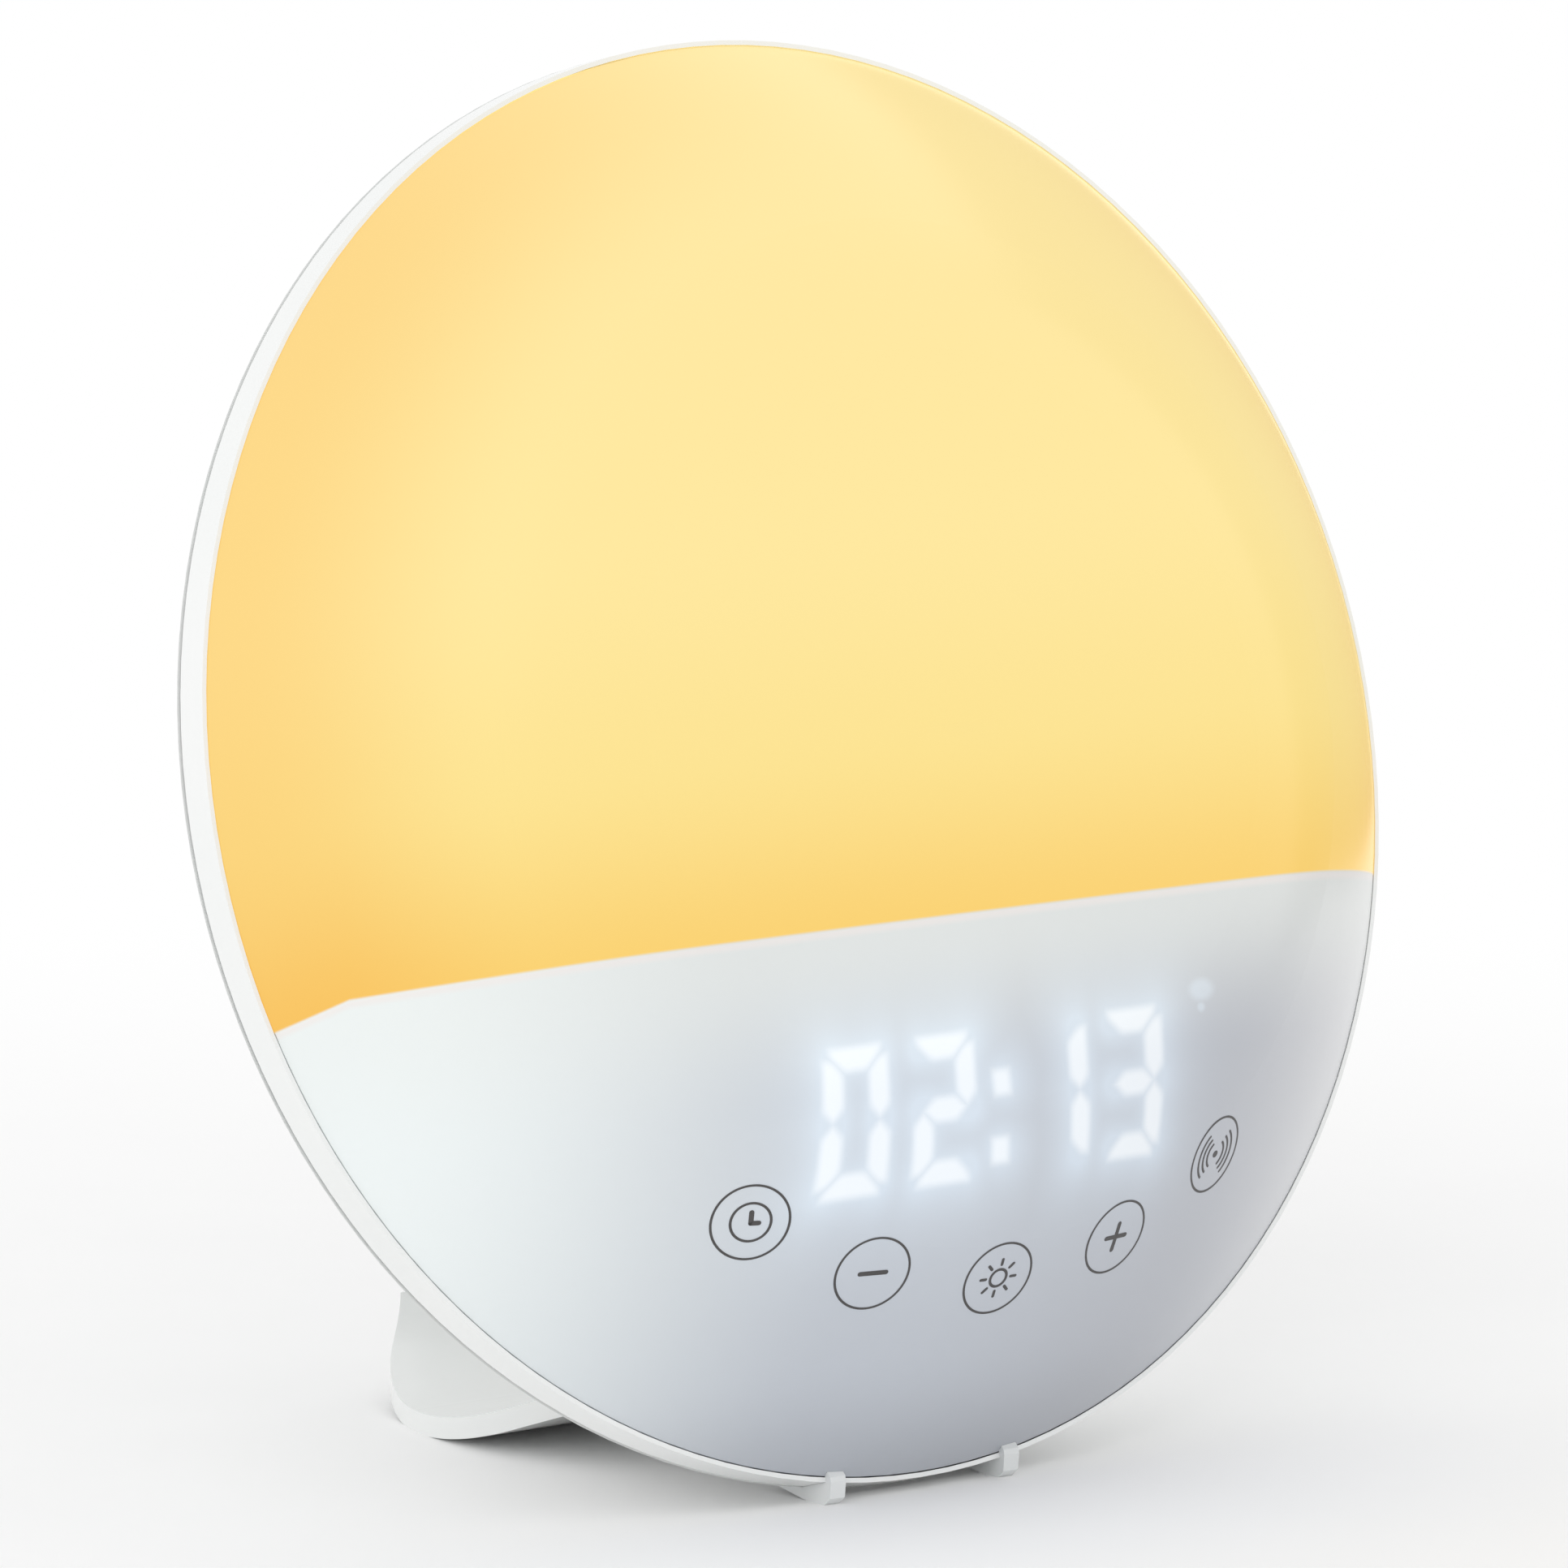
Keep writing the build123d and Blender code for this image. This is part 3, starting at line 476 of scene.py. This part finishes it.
def line_distance(graph, across, height, segment):
    """Round distance from the middle line of a segment, for its halo."""
    x, y, _, _, kind = segment
    aside = graph.math("ABSOLUTE", graph.math("SUBTRACT", across, x))
    above = graph.math("ABSOLUTE", graph.math("SUBTRACT", height, y))
    along, off = (above, aside) if kind == "post" else (aside, above)
    half = DIGIT_STOREY / 2 if kind == "post" else DIGIT_COLUMN
    beyond = graph.math("MAXIMUM", graph.math("SUBTRACT", along, half), 0.0)
    return graph.vector("LENGTH", graph.join(beyond, off))


def digit_glow_group():
    """Light of the digits through the diffuser: a soft core and a wide halo."""
    graph, given, out = new_group(
        "digit_glow",
        (("Face X", "NodeSocketFloat", 0.0), ("Face V", "NodeSocketFloat", 0.0)),
        (("Core", "NodeSocketFloat"), ("Halo", "NodeSocketFloat"), ("Wireless", "NodeSocketFloat")),
    )
    x, v = given["Face X"], given["Face V"]
    height = graph.math("SUBTRACT", v, DIGIT_MIDDLE)
    across = graph.math("MULTIPLY_ADD", height, -DIGIT_SLANT, x)
    nearest, around = FAR_AWAY, FAR_AWAY
    for segment in segment_places():
        edge = segment_distance(graph, across, height, segment)
        line = line_distance(graph, across, height, segment)
        nearest = graph.math("MINIMUM", nearest, edge)
        around = graph.math("SMOOTH_MIN", around, line, HALO_BLEND)
    for place in COLON_DOTS:
        nearest = graph.math("MINIMUM", nearest, dot_distance(graph, x, v, place))
        gap = graph.vector("SUBTRACT", graph.join(x, v), (*place, 0.0))
        around = graph.math("SMOOTH_MIN", around, graph.vector("LENGTH", gap), HALO_BLEND)
    graph.feed(out["Core"], graph.ramp(nearest, *CORE_EDGE))
    outside = graph.math("MAXIMUM", graph.math("SUBTRACT", around, SEGMENT_HALF), 0.0)
    graph.feed(out["Halo"], graph.math("POWER", HALO_FADE, outside))
    fan = soft_spot(graph, x, v, *WIRELESS_FAN)
    dot = soft_spot(graph, x, v, *WIRELESS_DOT)
    graph.feed(out["Wireless"], graph.math("MAXIMUM", fan, dot))
    return graph.tree


def glow_field(graph, x, above, radius):
    """Warm lamp light: deepest at the dividing line, palest at the top, with painted shade deepening
    it towards the left and right rims.
    """
    field = GLOW_LOW
    for start, full, colour in GLOW_BANDS:
        field = graph.mix(graph.ramp(above, start, full), field, colour)
    left = graph.ramp(x, *GLOW_SHADE_LEFT)
    right = graph.ramp(x, *GLOW_SHADE_RIGHT)
    # painted shade on the steep sides towards the rims
    painted_rim_shade = graph.math("MULTIPLY", graph.ramp(radius, *GLOW_SHADE_RADII), graph.math("MAXIMUM", left, right))
    return graph.mix(painted_rim_shade, field, graph.mix(1.0, field, GLOW_PAINTED_SHADE, "MULTIPLY"))


def painted_panel_field(graph, x, v):
    """Milky panel below the line with painted light and shade: bright with painted light at the left,
    cool with painted shade in the middle, dimmer over the display, a painted sheen at the right, and
    dark with painted shade below.
    """
    # painted light, painted shade and a painted sheen across the panel
    painted_panel = PANEL_PAINTED_LIGHT
    for start, full, colour in PANEL_PAINTED_BANDS:
        painted_panel = graph.mix(graph.ramp(x, start, full), painted_panel, colour)
    # painted light spilling from the lit field just under the line
    up, across = graph.ramp(v, *PANEL_SPILL_UP), graph.ramp(x, *PANEL_SPILL_ACROSS)
    painted_panel = graph.mix(graph.math("MULTIPLY", up, across), painted_panel, PANEL_PAINTED_SPILL)
    # painted shade towards the bottom
    return graph.mix(graph.ramp(v, *PANEL_SHADE_DOWN), painted_panel, PANEL_PAINTED_DARK)


def scaled(graph, colour, share):
    """A changing colour at a fixed share of its strength."""
    return graph.mix(1.0, colour, (share, share, share, 1.0), "MULTIPLY")


def scaled_light(graph, amount, colour):
    """Colour at the strength that a changing amount gives."""
    made = graph.node("ShaderNodeVectorMath", operation="SCALE")
    made.inputs[0].default_value = colour[:3]
    graph.feed(made.inputs["Scale"], amount)
    return made.outputs["Vector"]


def opal_diffuser():
    """Milky plastic of the dome: warm lamp field above the line, partly painted into the base colour
    as painted glow; panel with painted light and shade, and digits, below it.
    """
    made, graph, shader = new_material("opal_diffuser")
    x, v, _ = graph.split(graph.face_place())
    radius = graph.vector("LENGTH", graph.join(x, v))
    droop = graph.ramp(x, GLOW_DROOP_FROM, GLOW_DROOP_TO, 0.0, GLOW_DROOP, curve="LINEAR")
    edge = graph.math("MULTIPLY_ADD", x, GLOW_EDGE_TILT, GLOW_EDGE)
    above = graph.math("SUBTRACT", graph.math("ADD", v, droop), edge)
    lit = graph.ramp(above, -GLOW_EDGE_BLUR, GLOW_EDGE_BLUR)
    field = glow_field(graph, x, above, radius)
    # panel colour with painted light and shade
    painted_panel = painted_panel_field(graph, x, v)
    seam = graph.math("MULTIPLY", graph.ramp(above, *SEAM_TOP), graph.ramp(above, *SEAM_FOOT))
    painted_panel = graph.mix(graph.math("MULTIPLY", seam, SEAM_SHARE), painted_panel, SEAM_TINT)

    glow = graph.use(digit_glow_group(), Face_X=x, Face_V=v)
    wireless = graph.math("MULTIPLY", glow["Wireless"], WIRELESS_SHARE)
    halo = scaled_light(graph, graph.math("ADD", glow["Halo"], wireless), HALO_LIGHT)
    core = scaled_light(graph, glow["Core"], CORE_LIGHT)
    # base colour with painted light: painted lamp glow above the line, the painted panel below it
    base_with_painted_light = graph.mix(lit, painted_panel, scaled(graph, field, 1 - LAMP_SHARE))
    own = graph.mix(lit, graph.vector("ADD", halo, core), scaled(graph, field, LAMP_SHARE))
    graph.feed(shader.inputs["Base Color"], base_with_painted_light)
    graph.feed(shader.inputs["Emission Color"], own)
    shader.inputs["Emission Strength"].default_value = 1.0

    skin = graph.use(MOULDED_SKIN, Grain=2200.0, Wave=14.0)
    rough = graph.math("MULTIPLY_ADD", skin["Unevenness"], 0.05, OPAL_ROUGHNESS)
    graph.feed(shader.inputs["Roughness"], rough)
    shader.inputs["Specular IOR Level"].default_value = OPAL_SPECULAR
    bumped(graph, shader, skin["Height"], OPAL_BUMP, PORE_DEPTH)
    return made


# ---- finishes for the nodes that come from the construction model ----
def dress_nodes():
    """Give each node of the construction model the finish of its material slot."""
    matt = {"grain": 2500.0, "bump": 0.2}
    glossy = {"haze": 0.15, "bump": 0.03}
    white = plastic("white_gloss", srgb(246, 247, 246), srgb(243, 245, 244), 0.22, **glossy)
    button_white = plastic("button_white", srgb(228, 228, 226), srgb(220, 220, 219), 0.5, **matt)
    black = plastic("black_plastic", srgb(30, 30, 32), srgb(40, 40, 42), 0.5, **matt)
    inner = plastic("inner_plastic", srgb(216, 216, 212), srgb(205, 205, 202), 0.45, bump=0.1)
    board = plastic("circuit_board", srgb(24, 92, 52), srgb(18, 78, 44), 0.35, grain=600.0, bump=0.15)
    foam = plastic("black_foam", srgb(42, 42, 42), srgb(30, 30, 30), 0.9, grain=900.0, bump=0.8)
    paper = plastic("paper_cone", srgb(50, 50, 53), srgb(38, 38, 40), 0.85, grain=1200.0, bump=0.6)
    clear = plastic("clear_rubber", srgb(236, 238, 238), srgb(224, 227, 227), 0.3, haze=0.4)
    led = plastic("led_plastic", srgb(250, 226, 150), srgb(245, 216, 130), 0.2)
    milky = plastic("segment_plastic", srgb(236, 244, 252), srgb(226, 236, 246), 0.3)
    ribbon = plastic("ribbon_white", srgb(232, 232, 228), srgb(215, 215, 210), 0.4)
    zinc = metal("zinc_steel", srgb(205, 207, 210), srgb(180, 182, 186), 0.28)
    cell = metal("cell_steel", srgb(214, 214, 214), srgb(196, 196, 197), 0.22)
    finishes = {
        "opal_plastic": opal_diffuser(), "white_gloss": white, "clear_rubber": clear,
        "inner_plastic": inner, "reflector_white": white, "circuit_board": board,
        "led_plastic": led, "segment_plastic": milky, "black_plastic": black,
        "zinc_steel": zinc, "cell_steel": cell, "black_foam": foam, "paper_cone": paper,
        "soft_rubber": black, "white_button": button_white, "white_ribbon": ribbon,
    }
    for entry in frame["record"]["subparts"]:
        node = frame["nodes"][entry["node"]]
        finish = finishes[entry["material_slot"]]
        for slot in node.material_slots:
            slot.material = finish
        if not node.material_slots:
            node.data.materials.append(finish)


# ---- printed key signs ----
def ink_material():
    """Dark grey screen-printed ink, finely speckled."""
    made, graph, shader = new_material("key_ink")
    speckle = graph.noise(graph.place(), 3000.0, 3.0)
    graph.feed(shader.inputs["Base Color"], graph.mix(speckle, srgb(62, 60, 60), srgb(84, 82, 82)))
    graph.feed(shader.inputs["Roughness"], graph.math("MULTIPLY_ADD", speckle, 0.2, 0.35))
    bumped(graph, shader, speckle, 0.3, INK_DEPTH)
    return made


def key_centres():
    """Middles of the five keys on the face, from left to right."""
    for index in range(-2, 3):
        angle = radians(index * KEY_STEP)
        yield KEY_ARC_RADIUS * sin(angle), KEY_ARC_CENTRE - KEY_ARC_RADIUS * cos(angle)


def arc_points(radius, start, end, steps):
    """Points of an arc about the sign's middle, with its angles in degrees."""
    for step in range(steps + 1):
        angle = radians(start + (end - start) * step / steps)
        yield radius * cos(angle), radius * sin(angle)


def line_points(first, last, steps=6):
    """Points along a straight line, close enough to follow the dome."""
    for step in range(steps + 1):
        yield Vector(first).lerp(Vector(last), step / steps)


def on_key(centre, point, lift):
    """World point of a sign's own flat place (right, up), laid on the dome at a key."""
    distance = hypot(*centre)
    outward = Vector(centre) / distance
    sideways = Vector((-outward.y, outward.x))
    point = Vector(point)
    place = Vector(centre) + sideways * point.dot(sideways)
    place += outward * (point.dot(outward) * cos(lens_slope(distance)))
    return on_lens(place.x, place.y, lift)


def add_stroke(mesh, centre, points, width, closed=False):
    """Printed line along points of a sign, a thin closed solid with round ends."""
    points = [Vector(point) for point in points]
    if closed:
        points = points[:-1]
    count = len(points)
    rows = []
    for index, point in enumerate(points):
        before = points[index - 1] if index or closed else point
        after = points[(index + 1) % count] if index < count - 1 or closed else point
        along = (after - before).normalized()
        aside = Vector((-along.y, along.x)) * width / 2
        rows.append((point + aside, point - aside))
    if not closed:
        rows = round_end(points[0], points[1], width) + rows
        rows = rows + [(b, a) for a, b in reversed(round_end(points[-1], points[-2], width))]
    loops = []
    for left, right in rows:
        places = ((left, INK_TOP), (right, INK_TOP), (right, INK_ROOT), (left, INK_ROOT))
        loops.append([mesh.verts.new(on_key(centre, side, lift)) for side, lift in places])
    pairs = list(zip(loops, loops[1:]))
    if closed:
        pairs.append((loops[-1], loops[0]))
    else:
        mesh.faces.new(loops[0])
        mesh.faces.new(reversed(loops[-1]))
    for first, second in pairs:
        for index in range(4):
            following = (index + 1) % 4
            mesh.faces.new((first[index], second[index], second[following], first[following]))


def round_end(tip, inner, width):
    """Narrowing rows that close a stroke with a half circle, from the tip inwards."""
    back = (tip - inner).normalized()
    aside = Vector((-back.y, back.x))
    rows = []
    for angle in ROUND_END:
        reach = back * (width / 2 * sin(radians(angle)))
        half = aside * (width / 2 * cos(radians(angle)))
        rows.append((tip + reach - half, tip + reach + half))
    return rows


# Each sign gives its strokes: points in millimetres about the key's middle, width, and whether
# the stroke closes on itself.
def clock_sign():
    pivot, minute_tip, hour_tip = (0, -0.15), (0, 1.25), (0.95, -0.15)
    yield arc_points(2.45, 0, 360, 60), INK_SIGN, True
    yield line_points(minute_tip, pivot), INK_BOLD, False
    yield line_points(pivot, hour_tip), INK_BOLD, False


def minus_sign():
    yield line_points((-1.65, 0), (1.7, 0)), INK_BOLD, False


def sun_sign():
    disc, ray_start, ray_end = 1.16, 1.82, 2.52
    yield arc_points(disc, 0, 360, 40), INK_SUN, True
    for angle in range(0, 360, 45):
        outward = Vector((cos(radians(angle)), sin(radians(angle))))
        yield line_points(outward * ray_start, outward * ray_end, 3), INK_RAY, False


def plus_sign():
    yield line_points((-1.65, 0), (1.65, 0)), INK_BOLD, False
    yield line_points((0, -1.75), (0, 1.75)), INK_BOLD, False


def sound_sign():
    waves = ((1.7, 54), (2.55, 52), (3.4, 50))
    yield line_points((-0.06, 0), (0.06, 0), 2), INK_DOT, False
    for side in (0, 180):
        for radius, spread in waves:
            yield arc_points(radius, side - spread, side + spread, 24), INK_SIGN, False


def add_piece(name, mesh, material):
    """Turn a drawn mesh into an object of the scene."""
    data = bpy.data.meshes.new(name)
    mesh.to_mesh(data)
    mesh.free()
    data.materials.append(material)
    piece = bpy.data.objects.new(name, data)
    bpy.context.scene.collection.objects.link(piece)
    return piece


def print_keys():
    """Draw the five key rings with their signs."""
    ink = ink_material()
    signs = {
        "clock_key_print": clock_sign, "minus_key_print": minus_sign, "light_key_print": sun_sign,
        "plus_key_print": plus_sign, "sound_key_print": sound_sign,
    }
    for (name, sign), centre in zip(signs.items(), key_centres()):
        mesh = bmesh.new()
        add_stroke(mesh, centre, arc_points(KEY_RING_RADIUS, 0, 360, 120), INK_LINE, True)
        for points, width, closed in sign():
            add_stroke(mesh, centre, points, width, closed)
        bmesh.ops.recalc_face_normals(mesh, faces=mesh.faces)
        piece = add_piece(name, mesh, ink)
        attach(piece, "clock")


# ---- stage ----
def facing(place, target):
    """Rotation of a camera or lamp that looks from a place at a target."""
    return (Vector(target) - Vector(place)).to_track_quat("-Z", "Y").to_euler()


def add_camera():
    data = bpy.data.cameras.new("camera")
    data.lens = CAMERA_LENS
    data.sensor_width = CAMERA_SENSOR
    data.clip_end = 20.0
    camera = bpy.data.objects.new("camera", data)
    camera.location = Vector(CAMERA_PLACE) * MM
    camera.rotation_euler = facing(CAMERA_PLACE, CAMERA_TARGET)
    bpy.context.scene.collection.objects.link(camera)
    bpy.context.scene.camera = camera


def add_softbox(name, place, target, size, power):
    """Rectangular white lamp that no reflection shows."""
    data = bpy.data.lights.new(name, "AREA")
    data.shape = "RECTANGLE"
    data.size, data.size_y = size
    data.energy = power
    lamp = bpy.data.objects.new(name, data)
    lamp.location = Vector(place)
    lamp.rotation_euler = facing(place, target)
    lamp.visible_glossy = False
    bpy.context.scene.collection.objects.link(lamp)


def seen_directly(graph):
    """One for rays that show a surface as it is, zero for light that only falls on things."""
    path = graph.node("ShaderNodeLightPath")
    seen = graph.math("MAXIMUM", path.outputs["Is Camera Ray"], path.outputs["Is Glossy Ray"])
    return graph.math("MAXIMUM", seen, path.outputs["Is Transmission Ray"])


def add_world():
    """Even white surroundings whose light on things is a little lower."""
    world = bpy.data.worlds.new("studio")
    bpy.context.scene.world = world
    world.use_nodes = True
    world.node_tree.nodes.clear()
    graph = Graph(world.node_tree)
    background = graph.node("ShaderNodeBackground")
    background.inputs["Color"].default_value = (1, 1, 1, 1)
    strength = graph.math("MULTIPLY_ADD", seen_directly(graph), 1.0 - FILL_LIGHT, FILL_LIGHT)
    graph.feed(background.inputs["Strength"], strength)
    output = graph.node("ShaderNodeOutputWorld")
    graph.feed(output.inputs["Surface"], background.outputs[0])


def add_floor():
    """Pale floor that keeps the clock's shadow and fades to white away from it."""
    mesh = bmesh.new()
    bmesh.ops.create_grid(mesh, x_segments=1, y_segments=1, size=FLOOR_HALF)
    made = bpy.data.materials.new("studio_floor")
    made.use_nodes = True
    made.node_tree.nodes.clear()
    graph = Graph(made.node_tree)
    near = graph.node("ShaderNodeBsdfDiffuse")
    speckle = graph.noise(graph.place(), 40.0, 2.0)
    graph.feed(near.inputs["Color"], graph.mix(speckle, srgb(253, 253, 253), srgb(251, 251, 251)))
    far = graph.node("ShaderNodeEmission")
    distance = graph.vector("LENGTH", graph.place())
    fade = graph.ramp(distance, FLOOR_NEAR, FLOOR_FAR)
    share = graph.math("MULTIPLY", fade, seen_directly(graph))
    blend = graph.node("ShaderNodeMixShader")
    for socket, value in zip(blend.inputs, (share, near.outputs[0], far.outputs[0])):
        graph.feed(socket, value)
    output = graph.node("ShaderNodeOutputMaterial")
    graph.feed(output.inputs["Surface"], blend.outputs[0])
    floor = add_piece("studio_floor", mesh, made)
    floor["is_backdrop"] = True


def add_dark_card():
    """Grey card that only reflections show, so that the dome's far side keeps its colour."""
    mesh = bmesh.new()
    near, far = CARD_DEPTH
    outline = ((near, 0.0), (far, 0.0), (far, CARD_TOP), (near, CARD_TOP))
    mesh.faces.new([mesh.verts.new((CARD_PLACE, y, z)) for y, z in outline])
    made, graph, shader = new_material("dark_card")
    weave = graph.noise(graph.place(), 60.0, 2.0)
    grey = graph.mix(weave, srgb(124, 124, 126), srgb(116, 116, 118))
    graph.feed(shader.inputs["Base Color"], grey)
    shader.inputs["Roughness"].default_value = 1.0
    card = add_piece("dark_card", mesh, made)
    for sight in ("camera", "diffuse", "transmission", "shadow"):
        setattr(card, "visible_" + sight, False)
    card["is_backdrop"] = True


def light_stage():
    """World, floor, card and lamps round the clock."""
    add_world()
    add_floor()
    add_dark_card()
    for softbox in SOFTBOXES:
        add_softbox(*softbox)


dress_nodes()
print_keys()
light_stage()
add_camera()
bpy.context.scene.view_settings.view_transform = "Standard"

boxes = {"cad": cad_box, "visual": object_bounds()}
{name: [list(corner) for corner in box] for name, box in boxes.items()}
